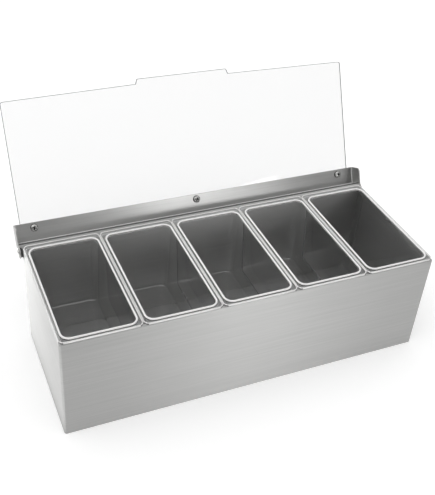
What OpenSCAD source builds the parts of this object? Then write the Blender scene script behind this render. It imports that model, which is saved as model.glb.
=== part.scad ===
// Counter-top condiment caddy: a folded sheet-steel housing, five lift-out
// clear trays that hang in it by their rims, and one clear flip lid screwed
// to a hinge bar that turns on two rivets behind the rear wall.
// Units are millimetres. The origin is the centre of the underside,
// the front faces -Y and +Z is up. The lid is drawn in its open position.

/* [Housing] */
// Length of the housing, left to right
body_w = 400; // [300:1:500]
// Depth of the housing, front to back
body_d = 148; // [130:1:170]
// Height of the housing's walls
body_h = 118; // [100:1:140]
// Thickness of the sheet steel
sheet_t = 1.0; // [0.8:0.1:1.2]
// Outer radius of the upright corner bends
corner_r = 2.5; // [2:0.1:4]
// Outer radius of the bend along the top edge
edge_r = 1.6; // [1.4:0.1:2.0]
// Width of the ledge that is turned in along the front's and the sides' top edge
ledge_w = 3.2; // [2.8:0.1:3.2]
// Width of the ledge that is turned out along the rear panel's top edge
rear_ledge_w = 12.0; // [10:0.1:13]
// Width of the rear panel's flanges, welded inside the side walls
weld_flange_w = 12; // [8:1:16]

/* [Trays] */
// Number of trays side by side
tray_count = 5; // [5:1:5]
// Depth of a tray below its rim
tray_deep = 80; // [50:1:95]
// Thickness of the clear plastic walls
tray_t = 1.8; // [1.4:0.1:2.2]
// How far the walls lean in from rim to floor
tray_draft = 2.8; // [1:0.1:4]
// Gap between neighbouring rims
tray_gap = 0.4; // [0.3:0.1:1]
// Distance from the rims to the housing's outer faces
rim_inset = 0.3; // [0.3:0.1:0.6]
// How much further the rims reach at the rear, over the rear ledge
rim_back = 3.1; // [2.5:0.1:4]
// Thickness of the rim's flange
rim_t = 1.4; // [1:0.1:2]
// Height of the bead round the opening, above the ledge
bead_h = 3.0; // [2:0.1:4]
// Width of the bead
bead_w = 2.0; // [1.6:0.1:2.4]
// Distance from the rim's outer edge to the bead
bead_inset = 2.9; // [2.8:0.1:3.6]
// Height of the lip along the rim's outer edge, above the ledge
lip_h = 2.0; // [1.6:0.1:2.4]
// Width of that lip
lip_w = 1.1; // [0.8:0.1:1.4]
// Corner radius of the rim
rim_r = 5.5; // [5:0.5:8]
// Corner radius of the opening
mouth_r = 7.5; // [6:0.5:9]

/* [Lid] */
// Width of the clear lid
lid_w = 392.0; // [300:0.5:398]
// Reach of the lid beyond the hinge bar
lid_reach = 127.3; // [110:0.1:130]
// Fall of the lid's free edge from the tab to its corners
lid_crown = 2.0; // [0:0.1:3]
// Thickness of the lid
lid_t = 2.0; // [1.5:0.1:3]
// Width of the lifting tab at its root
tab_w = 107; // [60:1:140]
// Reach of the lifting tab
tab_reach = 5.2; // [4:0.1:12]
// Radius of the lid's corners
lid_corner_r = 2.5; // [1:0.1:4]
// How far past upright the open lid leans back, in degrees
open_lean = 24.75; // [10:0.25:30]

/* [Hinge] */
// Distance of the hinge axis behind the rear wall
pivot_back = 6.1; // [5:0.1:7]
// Distance of the hinge axis below the housing's top edge
pivot_drop = 7.1; // [7:0.1:8]
// Height of the hinge bar
bar_h = 20.3; // [16:0.1:21]
// Distance of the bar's free edge from the hinge axis, along the lid
bar_far = 25.6; // [24:0.1:28]
// Distance of the bar's face from the hinge axis, square to the lid
bar_off = 13.0; // [12.8:0.1:14]
// Thickness of the hinge bar
bar_t = 1.2; // [1:0.1:1.2]
// Gap between the housing's side and the inside of the hinge ear
ear_gap = 2.1; // [2:0.1:3]
// Outer radius of the bend from the bar to its ears
ear_bend_r = 2.6; // [2.2:0.1:4]
// Depth of the ear beside the bar
ear_depth = 17.2; // [16:0.1:17.2]
// Radius of the round end of the ear
ear_r = 6.8; // [6.4:0.1:7.4]
// Radius of the ear's outer corner
ear_corner_r = 4; // [2:0.5:6]
// Radius of the pivot rivet's shank
rivet_r = 2.5; // [2:0.1:3]
// Radius of the rivet's domed head
rivet_head_r = 4.0; // [3.6:0.1:4.6]
// Height of the rivet's domed head
rivet_head_h = 2.0; // [1.5:0.1:2.5]
// Radius of the rivet's closed end
rivet_tail_r = 3.8; // [3.2:0.1:4]
// Thickness of the rivet's closed end
rivet_tail_t = 1.2; // [0.8:0.1:1.5]
// Radius of the black hinge washer
spacer_r = 5.8; // [5:0.1:6]

/* [Fasteners] */
// Distance of the outer lid screws from the middle one
screw_pitch = 182; // [140:1:190]
// Distance of the screws from the bar's free edge
screw_inset = 5.7; // [5:0.1:8]
// Radius of the screws' shanks
screw_r = 2.0; // [1.5:0.1:2]
// Radius of the screws' heads
screw_head_r = 4.0; // [3.4:0.1:4.2]
// Height of the screws' heads
screw_head_h = 2.2; // [1.8:0.1:2.4]
// Width across the flats of the nuts
nut_af = 7; // [6:0.1:8]
// Thickness of the nuts
nut_t = 3.2; // [2.5:0.1:4]
// Radius of the flat washers
washer_r = 4.5; // [4:0.1:5]
// Thickness of the flat washers
washer_t = 0.8; // [0.5:0.1:1]

/* [Hidden] */

$fn = 64;
hull_fn = 32;
// A small overshoot that keeps cutting tools clear of the faces they cut
eps = 0.5;
// Radial room of a shank in its running hole
run_gap = 0.05;
// Radial room of a fixed shank in its hole
fix_gap = 0.02;
// Radial room of a screw in its through hole
screw_gap = 0.25;
// End play between the ear and what it runs against
end_play = 0.05;
// Gap between welded sheets
weld_gap = 0.05;
// How far a straight edge dips into a round end, so that the two outlines cross
tuck = 0.05;
// Thickness of the two slices that a tray's body is stretched between
slice = 0.1;
// How much rounder a tray's corners are at its floor
floor_round = 1;
// Distance from the bar's lower edge to the lid's, along the lid
lid_step = 1;
// How much narrower the lifting tab is at its end
tab_taper = 2.4;
// Where the ear's front edge starts to spread to its round end, along the lid
ear_slope_u = 7.5;
// How much smaller than the ear's round end the lug behind it is
lug_less = 0.4;
// How far a lid screw reaches past its nut
thread_end = 0.8;
// Height of a screw head's upright edge
head_edge_h = 0.6;

half_w = body_w / 2;
half_d = body_d / 2;

tray_pitch = (body_w - 2 * rim_inset + tray_gap) / tray_count;
rim_w = tray_pitch - tray_gap;
rim_d = body_d - 2 * rim_inset;
mouth_inset = bead_inset + bead_w;
tray_floor_z = body_h - tray_deep;

pivot_y = half_d + pivot_back;
pivot_z = body_h - pivot_drop;
open_turn = 90 + open_lean;
bar_near = bar_far - bar_h;
bar_back = bar_off + bar_t;
lid_back = bar_back + lid_t;
ear_in = half_w + ear_gap;
ear_out = ear_in + bar_t;
ear_front = bar_back - ear_depth;
lug_r = ear_r - lug_less;

lid_near = bar_near + lid_step;
lid_far = bar_far + lid_reach;
tab_far = lid_far + tab_reach;
tab_top_w = tab_w - tab_taper;
tab_corner_r = 2;

screw_u = bar_far - screw_inset;
screw_len = bar_t + lid_t + washer_t + nut_t + thread_end;
recess_w = 1.1;
recess_l = 4.2;
recess_deep = 1.3;

// A flat rectangle with rounded corners, centred
module rounded_rect(w, d, r) {
  square([w - 2 * r, d], center = true);
  square([w, d - 2 * r], center = true);
  for (sx = [-1, 1], sy = [-1, 1])
    translate([sx * (w / 2 - r), sy * (d / 2 - r)]) circle(r);
}

// The same, given by how far it lies inside the housing's share for one tray
module rim_outline(inset, r) {
  rounded_rect(rim_w - 2 * inset, rim_d - 2 * inset, r);
}

// The same for the rim's flange, which reaches further back
module flange_outline(inset, r) {
  translate([0, rim_back / 2]) rounded_rect(rim_w - 2 * inset, rim_d + rim_back - 2 * inset, r);
}

// Where a line from point p touches the circle of radius r about the axis,
// on the side given by the sign of way
function touch(p, r, way) =
  let (a = atan2(p[1], p[0]) + way * acos(r / norm(p))) [r * cos(a), r * sin(a)];

// Section of a wall whose top edge is bent over into a ledge: the face on the
// bend's outside is at 0, and the wall and the ledge are at negative x
module edge_section(ledge) {
  translate([-sheet_t, 0]) square([sheet_t, body_h - edge_r]);
  translate([-ledge, body_h - sheet_t]) square([ledge - edge_r, sheet_t]);
  intersection() {
    translate([-edge_r, body_h - edge_r])
      difference() {
        circle(edge_r);
        circle(edge_r - sheet_t);
      }
    translate([-edge_r, body_h - edge_r]) square(edge_r);
  }
}

// A straight run of that wall along +X from the origin, its ledge towards +Y
module wall_run(length, ledge) {
  rotate([90, 0, 90]) mirror([1, 0, 0]) linear_extrude(length) edge_section(ledge);
}

// The upright corner between two runs, centred on the corner's own axis
module wall_corner() {
  rotate_extrude(angle = 90)
    intersection() {
      translate([corner_r, 0]) edge_section(ledge_w);
      square([corner_r, body_h]);
    }
}

// The round plate behind each side wall that carries the hinge rivet
module lug_outline() {
  difference() {
    union() {
      translate([pivot_y, pivot_z]) circle(lug_r);
      translate([half_d - corner_r, pivot_z - lug_r / 2]) square([pivot_back + corner_r, lug_r * 1.5]);
    }
    translate([pivot_y, pivot_z]) circle(rivet_r + fix_gap);
  }
}

module front_wrap() {
  color([0.78, 0.78, 0.77]) {
    translate([-half_w + corner_r, -half_d, 0]) wall_run(body_w - 2 * corner_r, ledge_w);
    for (side = [0, 1]) mirror([side, 0, 0]) {
      translate([half_w, -half_d + corner_r, 0])
        rotate([0, 0, 90]) wall_run(body_d - corner_r, ledge_w);
      translate([half_w - corner_r, -half_d + corner_r, 0])
        rotate([0, 0, -90]) wall_corner();
      translate([half_w - sheet_t, 0, 0])
        rotate([90, 0, 90]) linear_extrude(sheet_t) lug_outline();
    }
  }
}

// The rear wall, notched at both ends round the side walls' ledges
module rear_panel() {
  inner_w = body_w - 2 * sheet_t - 2 * weld_gap;
  color([0.78, 0.78, 0.77]) {
    translate([-inner_w / 2, half_d - sheet_t, 0])
      difference() {
        wall_run(inner_w, rear_ledge_w);
        for (end = [0, 1])
          translate([end * inner_w - ledge_w, -eps, body_h - edge_r - eps])
            cube([2 * ledge_w, sheet_t + weld_gap + eps, edge_r + 2 * eps]);
      }
    for (side = [0, 1]) mirror([side, 0, 0])
      translate([inner_w / 2 - sheet_t, half_d - weld_flange_w, sheet_t + weld_gap])
        cube([sheet_t, weld_flange_w - sheet_t, body_h - 2 * edge_r - ledge_w]);
  }
}

module base_panel() {
  w = body_w - 2 * sheet_t - 2 * weld_gap;
  d = body_d - 2 * sheet_t - 2 * weld_gap;
  color([0.74, 0.74, 0.73])
    linear_extrude(sheet_t) rounded_rect(w, d, corner_r - sheet_t);
}

// Solid block with the outline of a tray at its rim and at its floor
module tray_block(inset, r, floor_z) {
  hull() {
    translate([0, 0, body_h]) linear_extrude(slice) rim_outline(inset, r, $fn = hull_fn);
    translate([0, 0, floor_z]) linear_extrude(slice)
      rim_outline(inset + tray_draft, r + floor_round, $fn = hull_fn);
  }
}

module tray(number) {
  wall_inset = mouth_inset - tray_t;
  wall_r = mouth_r + tray_t;
  color([0.86, 0.89, 0.90, 0.45])
    translate([(number - (tray_count + 1) / 2) * tray_pitch, 0, 0])
      difference() {
        union() {
          tray_block(wall_inset, wall_r, tray_floor_z);
          translate([0, 0, body_h]) linear_extrude(rim_t) flange_outline(0, rim_r);
          translate([0, 0, body_h]) linear_extrude(bead_h) rim_outline(bead_inset, mouth_r + bead_w);
          translate([0, 0, body_h])
            linear_extrude(lip_h)
              difference() {
                flange_outline(0, rim_r);
                flange_outline(lip_w, rim_r - lip_w);
              }
        }
        tray_block(mouth_inset, mouth_r, tray_floor_z + tray_t);
        translate([0, 0, body_h]) linear_extrude(bead_h + eps) rim_outline(mouth_inset, mouth_r);
      }
}

// Puts what is drawn as with the lid shut, about the hinge axis, in its open place
module opened() {
  translate([0, pivot_y, pivot_z]) rotate([-open_turn, 0, 0]) children();
}

// Outline of the ear in the plane square to the hinge axis:
// first coordinate along the lid, second square to it
module ear_outline() {
  fold = bar_back - ear_bend_r;
  rear = [bar_near, fold];
  front = [ear_slope_u, ear_front];
  circle(ear_r);
  polygon([
    [0, 0], touch(rear, ear_r - tuck, 1), rear, [bar_far, fold],
    [bar_far, ear_front + ear_corner_r], [bar_far - ear_corner_r, ear_front],
    front, touch(front, ear_r - tuck, -1)
  ]);
  translate([bar_far - ear_corner_r, ear_front + ear_corner_r]) circle(ear_corner_r);
}

// Section of the bend from the bar to an ear
module bend_section() {
  intersection() {
    difference() {
      circle(ear_bend_r);
      circle(ear_bend_r - bar_t);
    }
    square(ear_bend_r);
  }
}

module hinge_bar() {
  flat_w = 2 * (ear_out - ear_bend_r);
  color([0.72, 0.72, 0.71])
    opened()
      difference() {
        union() {
          translate([-flat_w / 2, -bar_far, bar_off]) cube([flat_w, bar_h, bar_t]);
          for (side = [0, 1]) mirror([side, 0, 0]) {
            translate([flat_w / 2, -bar_near, bar_back - ear_bend_r])
              rotate([90, 0, 0]) linear_extrude(bar_h) bend_section();
            translate([ear_in, 0, 0])
              rotate([90, 0, 90]) linear_extrude(bar_t) mirror([1, 0]) ear_outline();
          }
        }
        rotate([0, 90, 0]) cylinder(r = rivet_r + run_gap, h = 3 * body_w, center = true);
        for (place = [-1, 0, 1])
          translate([place * screw_pitch, -screw_u, bar_off - eps])
            cylinder(r = screw_r + screw_gap, h = bar_t + 2 * eps);
      }
}

// Outline of the lid: first coordinate across, second away from the hinge
module lid_outline() {
  w = lid_w / 2;
  r = lid_corner_r;
  side_far = lid_far - lid_crown;
  polygon([
    [-w, lid_near], [w, lid_near], [w, side_far - r], [w - r, side_far],
    [tab_w / 2, lid_far], [-tab_w / 2, lid_far], [-w + r, side_far], [-w, side_far - r]
  ]);
  for (side = [-1, 1]) translate([side * (w - r), side_far - r]) circle(r);
  polygon([
    [-tab_w / 2, lid_far - 1], [tab_w / 2, lid_far - 1],
    [tab_w / 2, lid_far], [tab_top_w / 2, tab_far - tab_corner_r],
    [tab_top_w / 2 - tab_corner_r, tab_far], [-tab_top_w / 2 + tab_corner_r, tab_far],
    [-tab_top_w / 2, tab_far - tab_corner_r], [-tab_w / 2, lid_far]
  ]);
  for (side = [-1, 1])
    translate([side * (tab_top_w / 2 - tab_corner_r), tab_far - tab_corner_r]) circle(tab_corner_r);
}

module lid_panel() {
  color([0.93, 0.95, 0.96, 0.3])
    opened()
      translate([0, 0, bar_back])
        linear_extrude(lid_t)
          difference() {
            mirror([0, 1]) lid_outline();
            for (place = [-1, 0, 1])
              translate([place * screw_pitch, -screw_u]) circle(screw_r + screw_gap);
          }
}

// Puts a fastener, drawn along +Z from the face it bears on, at its lid hole
module at_screw(place, height) {
  opened() translate([place * screw_pitch, -screw_u, height]) children();
}

// A cap cut from a ball: radius r at its flat face and h high
module dome(r, h) {
  ball = (r * r + h * h) / (2 * h);
  intersection() {
    translate([0, 0, h - ball]) sphere(ball);
    translate([-r, -r, 0]) cube([2 * r, 2 * r, h]);
  }
}

// Pan-head screw with a cross recess, its head on the bar's housing side
module lid_screw(place) {
  color([0.70, 0.70, 0.70])
    at_screw(place, bar_off) {
      difference() {
        mirror([0, 0, 1]) {
          cylinder(r = screw_head_r, h = head_edge_h);
          translate([0, 0, head_edge_h]) dome(screw_head_r, screw_head_h - head_edge_h);
        }
        for (turn = [0, 90])
          rotate([0, 0, turn])
            translate([-recess_l / 2, -recess_w / 2, -screw_head_h - eps])
              cube([recess_l, recess_w, recess_deep + eps]);
      }
      cylinder(r = screw_r, h = screw_len);
    }
}

module lid_washer(place) {
  color([0.68, 0.68, 0.68])
    at_screw(place, lid_back)
      difference() {
        cylinder(r = washer_r, h = washer_t);
        translate([0, 0, -eps]) cylinder(r = screw_r + screw_gap, h = washer_t + 2 * eps);
      }
}

module lid_nut(place) {
  color([0.70, 0.70, 0.70])
    at_screw(place, lid_back + washer_t)
      difference() {
        cylinder(r = nut_af / sqrt(3), h = nut_t, $fn = 6);
        translate([0, 0, -eps]) cylinder(r = screw_r + fix_gap, h = nut_t + 2 * eps);
      }
}

// Puts a hinge part, drawn along +Z outwards from the housing's side, in place
module at_pivot(side) {
  translate([side * half_w, pivot_y, pivot_z]) rotate([0, side * 90, 0]) children();
}

module pivot_rivet(side) {
  head_z = ear_out - half_w + end_play;
  color([0.75, 0.75, 0.75])
    at_pivot(side) {
      translate([0, 0, -sheet_t - rivet_tail_t]) cylinder(r = rivet_tail_r, h = rivet_tail_t);
      translate([0, 0, -sheet_t]) cylinder(r = rivet_r, h = head_z + sheet_t);
      translate([0, 0, head_z]) dome(rivet_head_r, rivet_head_h);
    }
}

module hinge_washer(side) {
  thick = ear_gap - end_play;
  color([0.08, 0.08, 0.08])
    at_pivot(side)
      difference() {
        cylinder(r = spacer_r, h = thick);
        translate([0, 0, -eps]) cylinder(r = rivet_r + fix_gap, h = thick + 2 * eps);
      }
}

front_wrap();
rear_panel();
base_panel();
tray(1);  // tray_1
tray(2);  // tray_2
tray(3);  // tray_3
tray(4);  // tray_4
tray(5);  // tray_5
hinge_bar();
lid_panel();
lid_screw(-1);  // lid_screw_left
lid_screw(0);  // lid_screw_middle
lid_screw(1);  // lid_screw_right
lid_washer(-1);  // lid_washer_left
lid_washer(0);  // lid_washer_middle
lid_washer(1);  // lid_washer_right
lid_nut(-1);  // lid_nut_left
lid_nut(0);  // lid_nut_middle
lid_nut(1);  // lid_nut_right
pivot_rivet(-1);  // pivot_rivet_left
pivot_rivet(1);  // pivot_rivet_right
hinge_washer(-1);  // hinge_washer_left
hinge_washer(1);  // hinge_washer_right
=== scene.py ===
import math

import bmesh
import bpy
from mathutils import Matrix, Vector


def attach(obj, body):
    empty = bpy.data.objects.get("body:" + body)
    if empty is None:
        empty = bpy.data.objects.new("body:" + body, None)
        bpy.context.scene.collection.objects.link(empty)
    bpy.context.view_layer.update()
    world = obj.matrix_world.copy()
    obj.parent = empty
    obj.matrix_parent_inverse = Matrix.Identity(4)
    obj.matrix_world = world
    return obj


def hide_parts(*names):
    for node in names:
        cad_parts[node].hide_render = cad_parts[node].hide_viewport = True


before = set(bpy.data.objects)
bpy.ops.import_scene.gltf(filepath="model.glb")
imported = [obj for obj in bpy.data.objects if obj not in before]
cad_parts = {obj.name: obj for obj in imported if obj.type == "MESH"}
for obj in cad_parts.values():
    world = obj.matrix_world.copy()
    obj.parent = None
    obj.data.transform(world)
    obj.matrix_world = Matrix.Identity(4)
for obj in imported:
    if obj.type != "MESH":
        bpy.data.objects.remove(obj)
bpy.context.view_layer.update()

# One millimetre in Blender's metres
MM = 0.001

# Sizes of the part, repeated from its source, in millimetres. First the housing
BODY_W = 400
BODY_D = 148
BODY_H = 118
SHEET_T = 1.0

# The trays: their rims, the lip and bead on the rim, and the walls below
TRAY_COUNT = 5
TRAY_BODIES = ("first_tray", "second_tray", "third_tray", "fourth_tray", "fifth_tray")
TRAY_DEEP = 80
RIM_INSET = 0.3
RIM_GAP = 0.4
RIM_BACK = 3.1
RIM_R = 5.5
RIM_T = 1.4
RIM_W = (BODY_W - 2 * RIM_INSET + RIM_GAP) / TRAY_COUNT - RIM_GAP
RIM_D = BODY_D - 2 * RIM_INSET
LIP_W = 1.1
LIP_H = 2.0
BEAD_INSET = 2.9
BEAD_W = 2.0
BEAD_H = 3.0
MOUTH_R = 7.5
WALL_T = 1.8
WALL_DRAFT = 2.8
FLOOR_ROUND = 1.0

# The lid's fasteners, and how far the bar and the lid's back lie off the hinge axis
SCREW_PITCH = 182
SCREW_U = 19.9
SCREW_R = 2.0
SCREW_HEAD_R = 4.0
SCREW_HEAD_H = 2.2
SCREW_LEN = 8.0
BAR_OFF = 13.0
BAR_NEAR = 5.3
LID_BACK = 16.2
WASHER_R = 4.5
WASHER_T = 0.8
NUT_AF = 7.0
NUT_T = 3.2

# The hinge's rivets and the washers between the ears and the side walls
RIVET_R = 2.5
RIVET_HEAD_R = 4.0
RIVET_HEAD_H = 2.0
RIVET_HEAD_Z = 3.35
RIVET_TAIL_R = 3.8
RIVET_TAIL_T = 1.2
SPACER_R = 5.8
SPACER_T = 2.05

# Place of the hinge axis, and how far the open lid is turned back from level
PIVOT_Y = 80.1
PIVOT_Z = 110.9
OPEN_TURN = math.radians(-114.75)

# From the level lid's own place about the hinge axis to the open lid
OPEN_LID = Matrix.Translation((0, PIVOT_Y, PIVOT_Z)) @ Matrix.Rotation(OPEN_TURN, 4, "X")

# Edges round off smoothly below this angle between their faces
SMOOTH_BELOW = math.radians(35)

# Points nearer to each other than this are one, in millimetres
SAME_POINT = 0.0005

# The angles of a quarter circle, for domed heads
QUARTER = [math.radians(9 * i) for i in range(11)]

# Brushed scratches as drawn, in millimetres: long along a sheet and fine across
# it, up an upright sheet or over a level one
GRAIN_UPRIGHT = (110, 110, 1.4)
GRAIN_LEVEL = (110, 1.4, 110)

POLYCARBONATE_IOR = 1.58
ACRYLIC_IOR = 1.49


# Materials

def colour(code):
    """A linear colour with alpha from an sRGB hex code."""
    parts = [int(code[i:i + 2], 16) / 255 for i in (1, 3, 5)]
    linear = [c / 12.92 if c <= 0.04045 else ((c + 0.055) / 1.055) ** 2.4 for c in parts]
    return (*linear, 1)


def add(tree, kind, links=None, **settings):
    """Adds a node. A setting that names an input gives its value, any other is the node's own.
    links joins each named or numbered input to another node's output."""
    made = tree.nodes.new(kind)
    for name, value in settings.items():
        if hasattr(made, name):
            setattr(made, name, value)
        else:
            made.inputs[name.replace("_", " ")].default_value = value
    for name, source in (links or {}).items():
        tree.links.new(source, made.inputs[name])
    return made


def finish_material(name, **sockets):
    """A material with one Principled shader whose plain sockets are set here."""
    made = bpy.data.materials.new(name)
    made.use_nodes = True
    shader = made.node_tree.nodes["Principled BSDF"]
    for label, value in sockets.items():
        shader.inputs[label.replace("_", " ")].default_value = value
    return made, made.node_tree, shader


def mottle(tree, size, turn=0, detail=2, roughness=0.5):
    """An uneven pattern whose features have the given real size in millimetres, turned about X."""
    place = add(tree, "ShaderNodeTexCoord")
    real_size = add(
        tree, "ShaderNodeMapping", {"Vector": place.outputs["Object"]}, vector_type="TEXTURE",
        Rotation=(turn, 0, 0), Scale=[side * MM for side in size]
    )
    return add(
        tree, "ShaderNodeTexNoise", {"Vector": real_size.outputs["Vector"]},
        Scale=1, Detail=detail, Roughness=roughness
    ).outputs["Fac"]


def brushed_stainless(name, code, rough, smear, grain, tangent_axis, tangent_turn=0, turn=0):
    """304 stainless sheet, belt-brushed along its length: hairline scratches
    that show as faint long streaks, and a sheen that smears across them."""
    dark_streak, light_streak = 0.94, 1.05
    patch_mm, patch_change = (90, 90, 40), 0.02
    made, tree, shader = finish_material(
        name, Metallic=1, Roughness=rough, Anisotropic=smear, Anisotropic_Rotation=tangent_turn
    )
    # The scratches are drawn about ten times as coarse as real ones, to show
    streak = mottle(tree, grain, turn, detail=3, roughness=0.55)
    cloud = mottle(tree, patch_mm, turn)
    bright = Vector(colour(code))
    tone = add(tree, "ShaderNodeValToRGB", {"Fac": streak})
    tone.color_ramp.elements[0].position = 0.25
    tone.color_ramp.elements[1].position = 0.75
    tone.color_ramp.elements[0].color = (*(bright * dark_streak)[:3], 1)
    tone.color_ramp.elements[1].color = (*(bright * light_streak)[:3], 1)
    tree.links.new(tone.outputs["Color"], shader.inputs["Base Color"])
    patches = add(
        tree, "ShaderNodeMapRange", {"Value": cloud},
        From_Min=0.3, From_Max=0.7, To_Min=rough - patch_change, To_Max=rough + patch_change
    )
    tree.links.new(patches.outputs["Result"], shader.inputs["Roughness"])
    bump = add(tree, "ShaderNodeBump", {"Height": streak}, Strength=0.1, Distance=0.0001)
    tree.links.new(bump.outputs["Normal"], shader.inputs["Normal"])
    across = add(tree, "ShaderNodeTangent", direction_type="RADIAL", axis=tangent_axis)
    tree.links.new(across.outputs["Tangent"], shader.inputs["Tangent"])
    return made


def clear_plastic(name, code, ior, roughness, clear, wave_mm):
    """Clear moulded plastic: glossy, with the faint waviness of a moulded face."""
    made, tree, shader = finish_material(
        name, Base_Color=colour(code), Roughness=roughness, IOR=ior, Transmission_Weight=clear
    )
    wave = mottle(tree, (wave_mm, wave_mm, wave_mm), detail=1)
    bump = add(tree, "ShaderNodeBump", {"Height": wave}, Strength=0.05, Distance=0.001)
    tree.links.new(bump.outputs["Normal"], shader.inputs["Normal"])
    return made


def bright_steel(name, code):
    """Zinc-bright fastener steel with faint handling marks about a millimetre apart."""
    made, tree, shader = finish_material(name, Base_Color=colour(code), Metallic=1, Roughness=0.28)
    marks = mottle(tree, (1.1, 1.1, 1.1), detail=3)
    rough = add(
        tree, "ShaderNodeMapRange", {"Value": marks},
        From_Min=0.3, From_Max=0.7, To_Min=0.2, To_Max=0.36
    )
    tree.links.new(rough.outputs["Result"], shader.inputs["Roughness"])
    return made


def highlight_steel(name, code):
    """Near-white matt steel colour, a painted highlight for the light that a rounded edge catches."""
    made, tree, shader = finish_material(name, Base_Color=colour(code), Roughness=0.6)
    fine_bumps = mottle(tree, (12, 1.2, 1.2))
    bump = add(tree, "ShaderNodeBump", {"Height": fine_bumps}, Strength=0.1, Distance=0.0001)
    tree.links.new(bump.outputs["Normal"], shader.inputs["Normal"])
    return made


def black_nylon(name, code):
    """Black moulded nylon with a fine satin texture, drawn at 0.4 mm to show."""
    made, tree, shader = finish_material(name, Base_Color=colour(code), Roughness=0.5)
    pores = mottle(tree, (0.4, 0.4, 0.4))
    bump = add(tree, "ShaderNodeBump", {"Height": pores}, Strength=0.2, Distance=0.0001)
    tree.links.new(bump.outputs["Normal"], shader.inputs["Normal"])
    return made


# The housing's sheet has a soft sheen that runs up its walls and across its floor
wall_steel = brushed_stainless(
    "brushed_stainless_walls", "#B6B6B5", rough=0.48, smear=0.88,
    grain=GRAIN_UPRIGHT, tangent_axis="Z", tangent_turn=0.25
)
floor_steel = brushed_stainless(
    "brushed_stainless_floor", "#B6B6B5", rough=0.48, smear=0.88, grain=GRAIN_LEVEL, tangent_axis="X"
)
# The hinge strip is smoother, so it mirrors the trays in front of it in a darker band
bar_steel = brushed_stainless(
    "brushed_stainless_bar", "#B6B6B5", rough=0.32, smear=0.8,
    grain=GRAIN_LEVEL, tangent_axis="X", turn=OPEN_TURN
)
# Painted shade: the last strip of the rear ledge, under the hinge bar, is coloured darker for the bar's
# shade
ledge_shade_steel = brushed_stainless(
    "ledge_painted_shade", "#6C6C6B", rough=0.55, smear=0.3, grain=GRAIN_LEVEL, tangent_axis="X"
)
# The trays' walls are glossy and clear, and show the steel behind them
tray_clear = clear_plastic(
    "clear_polycarbonate", "#FCFCFC", POLYCARBONATE_IOR, roughness=0.03, clear=1, wave_mm=28
)
# The narrow beads gather light inside them; this is a painted highlight, a near-white colour that lets
# little through
bead_highlight = clear_plastic(
    "bead_painted_highlight", "#FCFBFA", POLYCARBONATE_IOR, roughness=0.15, clear=0.05, wave_mm=28
)
# The lower lips gather less: a paler painted highlight that lets the steel under them show through
lip_highlight = clear_plastic(
    "lip_painted_highlight", "#FBFAF9", POLYCARBONATE_IOR, roughness=0.15, clear=0.25, wave_mm=28
)
# The lid's sheet is polished and can hardly be seen face on
lid_clear = clear_plastic(
    "clear_acrylic", "#F6F6F6", ACRYLIC_IOR, roughness=0, clear=1, wave_mm=60
)
# The sheet's sawn and flame-polished edge, coloured grey as a painted shade so that it shows as a fine
# grey line
lid_edge_shade = clear_plastic(
    "lid_edge_painted_shade", "#757A7A", ACRYLIC_IOR, roughness=0.25, clear=0.15, wave_mm=60
)
fastener_steel = bright_steel("bright_zinc_steel", "#BCBCBA")
# Painted highlight: the strip's lower edge and the crown of its folds are coloured near-white as a fine
# bright line
bar_highlight = highlight_steel("bar_painted_highlight", "#FDFDFC")
# Painted shade: the ears' outer faces are coloured a shade darker than the strip
ear_shade_steel = brushed_stainless(
    "ears_painted_shade", "#757574", rough=0.4, smear=0.5,
    grain=GRAIN_UPRIGHT, tangent_axis="Z", tangent_turn=0.25
)
# Painted shade: the stamped recess and the rim of a screw head are coloured near-black for the shade in
# them
recess_shade_steel = bright_steel("recess_painted_shade", "#2B2B2A")
rivet_steel = bright_steel("bright_rivet_steel", "#CFCFCD")
washer_nylon = black_nylon("black_nylon", "#3A3A3A")


def refinish(node, finish):
    """Gives a CAD node its final material."""
    node.data.materials.clear()
    node.data.materials.append(finish)


refinish(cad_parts["front_wrap"], wall_steel)
refinish(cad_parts["base_panel"], floor_steel)


# Pieces

def add_piece(bm, name, node, body, slot, *finishes):
    """Makes a finished piece from bm, in millimetres, to stand for a CAD node."""
    bmesh.ops.remove_doubles(bm, verts=bm.verts, dist=SAME_POINT)
    bmesh.ops.recalc_face_normals(bm, faces=bm.faces)
    bmesh.ops.scale(bm, verts=bm.verts, vec=(MM, MM, MM))
    data = bpy.data.meshes.new(name)
    bm.to_mesh(data)
    bm.free()
    data.shade_smooth()
    data.set_sharp_from_angle(angle=SMOOTH_BELOW)
    for finish in finishes:
        data.materials.append(finish)
    piece = bpy.data.objects.new(name, data)
    bpy.context.scene.collection.objects.link(piece)
    # Flat faces keep their own shading right up to a rounded edge
    shading = piece.modifiers.new("even_shading", "WEIGHTED_NORMAL")
    shading.keep_sharp = True
    graph = bpy.context.evaluated_depsgraph_get()
    piece.data = bpy.data.meshes.new_from_object(
        piece.evaluated_get(graph), preserve_all_data_layers=True, depsgraph=graph
    )
    piece.modifiers.clear()
    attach(piece, body)
    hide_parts(node)
    return piece


def combined(bm, tool, operation):
    """One closed skin cut or trimmed by another."""
    pair = []
    for name, skin in (("work", bm), ("tool", tool)):
        bmesh.ops.remove_doubles(skin, verts=skin.verts, dist=SAME_POINT)
        bmesh.ops.recalc_face_normals(skin, faces=skin.faces)
        data = bpy.data.meshes.new(name)
        skin.to_mesh(data)
        skin.free()
        pair.append(bpy.data.objects.new(name, data))
        bpy.context.scene.collection.objects.link(pair[-1])
    cut = pair[0].modifiers.new("cut", "BOOLEAN")
    cut.operation = operation
    cut.solver = "EXACT"
    cut.object = pair[1]
    made = bmesh.new()
    made.from_object(pair[0], bpy.context.evaluated_depsgraph_get())
    for part in pair:
        bpy.data.objects.remove(part)
    return made


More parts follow.
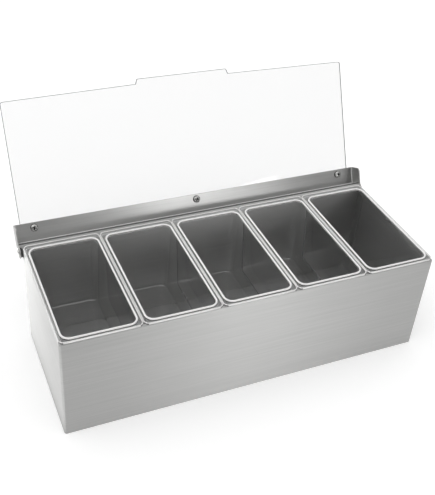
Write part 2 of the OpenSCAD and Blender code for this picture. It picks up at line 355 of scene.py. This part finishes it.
def turned(profile, steps, ring=False):
    """A profile of (radius, height) points spun once round the Z axis."""
    bm = bmesh.new()
    verts = [bm.verts.new((radius, 0, height)) for radius, height in profile]
    links = list(zip(verts, verts[1:]))
    if ring:
        links.append((verts[-1], verts[0]))
    edges = [bm.edges.new(pair) for pair in links]
    bmesh.ops.spin(
        bm, geom=verts + edges, cent=(0, 0, 0), axis=(0, 0, 1), angle=math.tau, steps=steps,
        use_merge=True
    )
    bmesh.ops.remove_doubles(bm, verts=bm.verts, dist=0.001)
    return bm


def washer(outer, inner, thick, ease, steps):
    """A flat ring from height 0 upwards with its edges eased."""
    return turned([
        (inner, ease), (inner + ease, 0), (outer - ease, 0), (outer, ease),
        (outer, thick - ease), (outer - ease, thick), (inner + ease, thick), (inner, thick - ease),
    ], steps, ring=True)


def softened(node, width):
    """A merged copy of a CAD node, in millimetres, with its sharp edges eased."""
    bm = bmesh.new()
    bm.from_mesh(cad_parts[node].data)
    bmesh.ops.scale(bm, verts=bm.verts, vec=(1 / MM, 1 / MM, 1 / MM))
    bmesh.ops.remove_doubles(bm, verts=bm.verts, dist=0.002)
    bmesh.ops.dissolve_limit(bm, angle_limit=math.radians(0.5), verts=bm.verts, edges=bm.edges)
    sharp = [e for e in bm.edges if e.is_manifold and e.calc_face_angle() > SMOOTH_BELOW]
    bmesh.ops.bevel(
        bm, geom=sharp, offset=width, offset_type="OFFSET", segments=2, profile=0.5,
        affect="EDGES", material=-1, clamp_overlap=False
    )
    return bm


def rim_ring(bm, inset, radius, height, back=0):
    """A closed loop of edges inset inside the tray's outline, or inside the flange's,
    which reaches back further at the rear."""
    known = set(bm.faces) | set(bm.edges)
    x, front, rear = RIM_W / 2 - inset, inset - RIM_D / 2, RIM_D / 2 - inset + back
    outline = ((x, rear), (-x, rear), (-x, front), (x, front))
    corners = [bm.verts.new((*corner, height)) for corner in outline]
    bm.faces.new(corners)
    bmesh.ops.bevel(
        bm, geom=corners, offset=radius, offset_type="OFFSET", segments=10,
        profile=0.5, affect="VERTICES", material=-1
    )
    bmesh.ops.delete(bm, geom=[f for f in bm.faces if f not in known], context="FACES_ONLY")
    return [e for e in bm.edges if e not in known]


def arc(centre, radius, start, end, steps):
    """Points of an arc in the section: x inwards from the rim's edge, z up."""
    turns = [math.radians(start + (end - start) * i / steps) for i in range(steps + 1)]
    return [(centre[0] + radius * math.cos(t), centre[1] + radius * math.sin(t)) for t in turns]


def make_tray(number):
    """A moulded tray: tapered walls on a rounded floor, a half-round bead round
    the mouth, and a flange that ends in an upturned lip."""
    floor_in, floor_out = WALL_T - TRAY_DEEP, -TRAY_DEEP
    fillet_in, fillet_out = 3.0, 4.0
    bead_r, groove_r = BEAD_W / 2, 0.4
    ease, margin = 0.3, 0.2
    # Flat rings slope by a hair, because level loops don't bridge reliably
    slope = 0.02
    mouth = BEAD_INSET + BEAD_W
    mouth_out, mouth_out_r = mouth - WALL_T, MOUTH_R + WALL_T
    foot, foot_r = mouth + WALL_DRAFT, MOUTH_R + FLOOR_ROUND
    foot_out, foot_out_r = foot - WALL_T, MOUTH_R + WALL_T + FLOOR_ROUND
    # The section as rings of inset, height and corner radius, from the inner floor
    # up the wall, over the bead and the lip, and down the outside to the outer floor
    fillet = arc((foot + fillet_in, floor_in + fillet_in), fillet_in, 270, 180, 6)
    inside = [(x, z, foot_r - (x - foot)) for x, z in fillet]
    inside += [(foot - 0.15, floor_in + 7, foot_r), (mouth + 0.05, -1.5, MOUTH_R), (mouth, 0.5, MOUTH_R)]
    crest = arc((BEAD_INSET + bead_r, BEAD_H - bead_r), bead_r, 0, 180, 8)
    crest += arc((BEAD_INSET - groove_r, RIM_T + groove_r), groove_r, 0, -90, 3)
    bead = [(x, z, MOUTH_R + mouth - x) for x, z in crest]
    edge = [
        (LIP_W + ease, RIM_T + slope), (LIP_W, RIM_T + 0.2), (LIP_W - 0.05, LIP_H - ease),
        (LIP_W - 0.35, LIP_H - slope), (0.35, LIP_H), (0.08, LIP_H - 0.25), (0, LIP_H - 0.5),
        (0, ease), (0.25, slope),
    ]
    lip = [(x, z, RIM_R - x) for x, z in edge]
    outside = [
        (mouth_out - ease, 0, mouth_out_r), (mouth_out, -ease, mouth_out_r),
        (mouth_out + 0.05, -2, mouth_out_r), (foot_out - 0.2, floor_out + 8, foot_out_r),
    ]
    fillet = arc((foot_out + fillet_out, floor_out + fillet_out), fillet_out, 180, 270, 6)
    outside += [(x, z, foot_out_r - (x - foot_out)) for x, z in fillet]
    bm = bmesh.new()
    rings = [rim_ring(bm, x, r, z) for x, z, r in inside + bead]
    rings += [rim_ring(bm, x, r, z, RIM_BACK) for x, z, r in lip]
    rings += [rim_ring(bm, x, r, z) for x, z, r in outside]
    for lower, upper in zip(rings, rings[1:]):
        bmesh.ops.bridge_loops(bm, edges=lower + upper)
    for end in (rings[0], rings[-1]):
        bmesh.ops.contextual_create(bm, geom=end)
    # The bead takes the second finish, and the lip the third, both painted highlights
    for face in bm.faces:
        x, y, z = face.calc_center_median()
        inset = min(RIM_W / 2 - abs(x), RIM_D / 2 + y, RIM_D / 2 + RIM_BACK - y)
        if z > RIM_T + margin or (z > margin and inset < ease):
            face.material_index = 2 if inset < LIP_W + margin else 1
    middle = (number - (TRAY_COUNT + 1) / 2) * (RIM_W + RIM_GAP)
    bmesh.ops.translate(bm, verts=bm.verts, vec=(middle, 0, BODY_H))
    tray = add_piece(
        bm, f"moulded_tray_{number}", f"tray_{number}", TRAY_BODIES[number - 1], "tray_plastic",
        tray_clear, bead_highlight, lip_highlight
    )
    tray.visible_shadow = False


for number in range(1, TRAY_COUNT + 1):
    make_tray(number)


def at_lid_hole(bm, place, height):
    """Puts a fastener, drawn up the Z axis, at its lid hole with Z towards the lid's back."""
    seat = OPEN_LID @ Matrix.Translation((place * SCREW_PITCH, -SCREW_U, height))
    bmesh.ops.transform(bm, matrix=seat, verts=bm.verts)
    return bm


def make_screw():
    """Pan-head M4 screw: a domed head with a cross recess, and a shank with
    its thread drawn as rings a pitch apart."""
    head_edge, seat_ease, point = 0.6, 0.1, 0.4
    pitch, depth, crest, plain, turns = 0.7, 0.3, 0.1, 0.5, 10
    dome_h = SCREW_HEAD_H - head_edge
    profile = [(SCREW_HEAD_R * math.sin(t), -head_edge - dome_h * math.cos(t)) for t in QUARTER]
    profile += [(SCREW_HEAD_R, -seat_ease), (SCREW_HEAD_R - seat_ease, 0), (SCREW_R, 0)]
    for i in range(turns):
        foot = plain + i * pitch
        profile += [(SCREW_R, foot), (SCREW_R, foot + crest), (SCREW_R - depth, foot + pitch / 2)]
    profile += [(SCREW_R, SCREW_LEN - point), (SCREW_R - point, SCREW_LEN), (0, SCREW_LEN)]
    bm = turned(profile, steps=32)
    # One arm of the cross is cut a hair less deep, so that the two floors don't coincide
    arm_long, arm_wide, arm_high, taper = 5.0, 1.3, 2.2, 0.72
    for turn, lift in ((20, 0.4), (110, 0.38)):
        arm = bmesh.new()
        for vert in bmesh.ops.create_cube(arm, size=1)["verts"]:
            x, y, z = vert.co
            narrow = 1 if z < 0 else taper
            vert.co = (x * arm_long * narrow, y * arm_wide * narrow, z * arm_high - SCREW_HEAD_H + lift)
        bmesh.ops.rotate(
            arm, verts=arm.verts, cent=(0, 0, 0), matrix=Matrix.Rotation(math.radians(turn), 3, "Z")
        )
        bm = combined(bm, arm, "DIFFERENCE")
    bm.normal_update()
    # The head's rim and the recess take the second finish, a painted shade
    rim_w, recess_r, floor_up = 0.35, 2.7, 0.8
    for face in bm.faces:
        x, y, z = face.calc_center_median()
        far = math.hypot(x, y)
        rim = far > SCREW_HEAD_R - rim_w
        recess = far < recess_r and (abs(face.normal.z) < 0.4 or z > floor_up - SCREW_HEAD_H)
        if z < -0.02 and (rim or recess):
            face.material_index = 1
    return bm


def make_nut():
    """Hexagon nut with both faces chamfered to a round."""
    corner, flat, fall = NUT_AF / math.sqrt(3), NUT_AF / 2 - 0.05, 0.35
    bm = bmesh.new()
    bmesh.ops.create_circle(bm, cap_ends=True, segments=6, radius=corner)
    raised = bmesh.ops.extrude_face_region(bm, geom=list(bm.faces))["geom"]
    top = [part for part in raised if isinstance(part, bmesh.types.BMVert)]
    bmesh.ops.translate(bm, verts=top, vec=(0, 0, NUT_T))
    lens = turned([
        (0, 0), (flat, 0), (corner + 0.1, fall),
        (corner + 0.1, NUT_T - fall), (flat, NUT_T), (0, NUT_T),
    ], steps=48)
    bm = combined(bm, lens, "INTERSECT")
    hole_r = SCREW_R + 0.02
    bore = turned([(0, -1), (hole_r, -1), (hole_r, NUT_T + 1), (0, NUT_T + 1)], steps=32)
    return combined(bm, bore, "DIFFERENCE")


washer_hole_r = SCREW_R + 0.25
for place, side in ((-1, "left"), (0, "middle"), (1, "right")):
    for kind, bm, height, finishes in (
        ("screw", make_screw(), BAR_OFF, (fastener_steel, recess_shade_steel)),
        (
            "washer", washer(WASHER_R, washer_hole_r, WASHER_T, ease=0.1, steps=40),
            LID_BACK, (fastener_steel,),
        ),
        ("nut", make_nut(), LID_BACK + WASHER_T, (fastener_steel,)),
    ):
        name = f"lid_{kind}_{side}"
        add_piece(
            at_lid_hole(bm, place, height), f"finished_{name}", name, "lid", "screw_steel", *finishes
        )


def at_hinge(bm, side):
    """Puts a hinge part, drawn up the Z axis from the housing's side, in place."""
    seat = Matrix.Translation((side * BODY_W / 2, PIVOT_Y, PIVOT_Z))
    seat = seat @ Matrix.Rotation(side * math.pi / 2, 4, "Y")
    bmesh.ops.transform(bm, matrix=seat, verts=bm.verts)
    return bm


def make_rivet():
    """Domed rivet: a head outside the ear, and a closed end set inside the lug."""
    tail, tail_ease, head_ease, head_edge = -SHEET_T - RIVET_TAIL_T, 0.3, 0.1, 0.2
    profile = [
        (0, tail), (RIVET_TAIL_R - tail_ease, tail), (RIVET_TAIL_R, tail + tail_ease),
        (RIVET_TAIL_R, -SHEET_T), (RIVET_R, -SHEET_T), (RIVET_R, RIVET_HEAD_Z),
        (RIVET_HEAD_R - head_ease, RIVET_HEAD_Z), (RIVET_HEAD_R, RIVET_HEAD_Z + head_ease),
    ]
    profile += [
        (RIVET_HEAD_R * math.cos(t), RIVET_HEAD_Z + head_edge + (RIVET_HEAD_H - head_edge) * math.sin(t))
        for t in QUARTER
    ]
    return turned(profile, steps=40)


spacer_hole_r = RIVET_R + 0.02
for side, word in ((-1, "left"), (1, "right")):
    add_piece(
        at_hinge(make_rivet(), side), f"domed_rivet_{word}", f"pivot_rivet_{word}", "housing",
        "rivet_steel", rivet_steel
    )
    add_piece(
        at_hinge(washer(SPACER_R, spacer_hole_r, SPACER_T, ease=0.25, steps=48), side),
        f"nylon_washer_{word}", f"hinge_washer_{word}", "housing", "washer_plastic", washer_nylon
    )


def make_bar():
    """The folded hinge bar, with a painted highlight on its lower edge and folds,
    and a painted shade on the outer faces of its ears."""
    highlight_from, highlight_to, ear_from = BAR_NEAR + 1.35, BAR_NEAR + 0.1, 202
    bm = softened("hinge_bar", width=0.15)
    bmesh.ops.bisect_plane(
        bm, geom=bm.verts[:] + bm.edges[:] + bm.faces[:],
        plane_co=OPEN_LID @ Vector((0, -highlight_from, 0)),
        plane_no=OPEN_LID.to_3x3() @ Vector((0, 1, 0))
    )
    bm.normal_update()
    to_level = OPEN_LID.inverted()
    for face in bm.faces:
        place = to_level @ face.calc_center_median()
        facing = to_level.to_3x3() @ face.normal
        # Faces along the lower edge and on the folds take the painted highlight
        lower_edge = -highlight_from < place.y < -highlight_to and facing.z < -0.9
        fold = 0.55 < abs(facing.x) < 0.8 and facing.z < -0.4
        # The ears' outer faces take the darker painted shade
        ear = abs(facing.x) > 0.9 and facing.x * place.x > 0 and abs(place.x) > ear_from
        face.material_index = 1 if lower_edge or fold else 2 if ear else 0
    add_piece(bm, "folded_hinge_bar", "hinge_bar", "lid", "bar_steel", bar_steel, bar_highlight, ear_shade_steel)


make_bar()


def make_rear_panel():
    """The rear wall with its ledge drawn out over the hinge lugs, and with a strip
    of painted shade along the ledge's rear edge, under the hinge bar."""
    ledge_end, lug_end, end_band = 196.9, 201.4, 0.5
    past_fold, shade_from, top_skin = BODY_D / 2 + 2.2, 81.8, 0.4
    bm = softened("rear_panel", width=0.25)
    bmesh.ops.bisect_plane(
        bm, geom=bm.verts[:] + bm.edges[:] + bm.faces[:],
        plane_co=(0, shade_from, 0), plane_no=(0, 1, 0)
    )
    for vert in bm.verts:
        if vert.co.y > past_fold and abs(vert.co.x) > ledge_end - end_band:
            vert.co.x += math.copysign(lug_end - ledge_end, vert.co.x)
    # The ledge's top beyond the cut takes the second finish, a painted shade
    for face in bm.faces:
        centre = face.calc_center_median()
        face.material_index = int(centre.y > shade_from and centre.z > BODY_H - top_skin)
    add_piece(bm, "folded_rear_panel", "rear_panel", "housing", "housing_steel", wall_steel, ledge_shade_steel)


make_rear_panel()


def make_lid():
    """The clear lid, with a painted shade on the narrow faces of its edge."""
    nearly_flat = 0.98
    face_on = OPEN_LID.to_3x3() @ Vector((0, 0, 1))
    bm = softened("lid_panel", width=0.5)
    bm.normal_update()
    for face in bm.faces:
        face.material_index = int(abs(face.normal.dot(face_on)) < nearly_flat)
    lid = add_piece(bm, "clear_lid_panel", "lid_panel", "lid", "lid_plastic", lid_clear, lid_edge_shade)
    lid.visible_shadow = False


make_lid()


# Floor, light and camera

def make_floor():
    """A matt white floor that catches the object's shadow."""
    reach, lift_by = 12, 0.15
    bm = bmesh.new()
    bmesh.ops.create_grid(bm, x_segments=1, y_segments=1, size=reach)
    data = bpy.data.meshes.new("floor")
    bm.to_mesh(data)
    bm.free()
    floor = bpy.data.objects.new("floor", data)
    bpy.context.scene.collection.objects.link(floor)
    made, tree, shader = finish_material(
        "matt_white_floor", Base_Color=colour("#FFFFFF"), Roughness=0.9, Emission_Color=colour("#FFFFFF")
    )
    data.materials.append(made)
    # The camera, and the metal and plastic, see the floor a little lighter than the lamps make it
    ray = add(tree, "ShaderNodeLightPath").outputs
    first = add(
        tree, "ShaderNodeMath", {0: ray["Is Camera Ray"], 1: ray["Is Glossy Ray"]}, operation="MAXIMUM"
    ).outputs["Value"]
    both = add(
        tree, "ShaderNodeMath", {0: first, 1: ray["Is Transmission Ray"]}, operation="MAXIMUM"
    ).outputs["Value"]
    lift = add(tree, "ShaderNodeMath", {0: both}, operation="MULTIPLY")
    lift.inputs[1].default_value = lift_by
    tree.links.new(lift.outputs["Value"], shader.inputs["Emission Strength"])


def make_card(name, place, target, size, power):
    """A rectangular lamp at place, in millimetres, aimed at target. Only the metal and the
    plastic mirror it, as they would a white card."""
    data = bpy.data.lights.new(name, "AREA")
    data.shape = "RECTANGLE"
    data.size, data.size_y = size[0] * MM, size[1] * MM
    data.energy = power
    card = bpy.data.objects.new(name, data)
    aim = (Vector(target) - Vector(place)).to_track_quat("-Z", "Y")
    card.matrix_world = Matrix.Translation(Vector(place) * MM) @ aim.to_matrix().to_4x4()
    bpy.context.scene.collection.objects.link(card)
    card.visible_camera = False
    card.visible_diffuse = False
    card.visible_transmission = False


def make_sun(name, place, spread, strength):
    """A broad, even light from the direction of place, spread over an angle in degrees."""
    data = bpy.data.lights.new(name, "SUN")
    data.angle = math.radians(spread)
    data.energy = strength
    lamp = bpy.data.objects.new(name, data)
    lamp.matrix_world = (-Vector(place)).to_track_quat("-Z", "Y").to_matrix().to_4x4()
    bpy.context.scene.collection.objects.link(lamp)


def make_world(low, high):
    """A studio that is darker round the horizon than overhead."""
    world = bpy.data.worlds.new("studio")
    world.use_nodes = True
    tree = world.node_tree
    up = add(tree, "ShaderNodeTexCoord")
    axes = add(tree, "ShaderNodeSeparateXYZ", {"Vector": up.outputs["Generated"]})
    shade = add(tree, "ShaderNodeValToRGB", {"Fac": axes.outputs["Z"]})
    shade.color_ramp.interpolation = "EASE"
    shade.color_ramp.elements[0].position = 0.15
    shade.color_ramp.elements[1].position = 0.75
    shade.color_ramp.elements[0].color = colour(low)
    shade.color_ramp.elements[1].color = colour(high)
    tree.links.new(shade.outputs["Color"], tree.nodes["Background"].inputs["Color"])
    bpy.context.scene.world = world


def make_camera():
    """The photograph's view: turned to the object's left, looking down, and rolled a little."""
    place = Vector((-302.93, -589.83, 621.23)) * MM
    turn, above, roll = math.radians(-25.834), math.radians(36.769), math.radians(4.817)
    data = bpy.data.cameras.new("camera")
    data.lens = 58.512
    data.clip_start = 0.05
    data.clip_end = 100
    camera = bpy.data.objects.new("camera", data)
    camera.matrix_world = (
        Matrix.Translation(place)
        @ Matrix.Rotation(turn, 4, "Z")
        @ Matrix.Rotation(math.pi / 2 - above, 4, "X")
        @ Matrix.Rotation(roll, 4, "Z")
    )
    bpy.context.scene.collection.objects.link(camera)
    bpy.context.scene.camera = camera


make_floor()
make_world("#7A7A7A", "#FFFFFF")
make_sun("key", (-900, -300, 1500), spread=60, strength=0.5)
# Two cards brighten the right of the front wall, and two even out the left wall
make_card("front_card", (330, -1060, 110), (0, 0, 60), size=(290, 200), power=1.1)
make_card("high_front_card", (460, -1060, 310), (0, 0, 60), size=(380, 200), power=0.9)
make_card("left_card", (-460, 620, 110), (-200, 0, 60), size=(320, 210), power=1.8)
make_card("low_left_card", (-320, 90, 2), (-320, 90, 1000), size=(220, 560), power=0.28)
make_camera()
bpy.context.scene.view_settings.view_transform = "Standard"
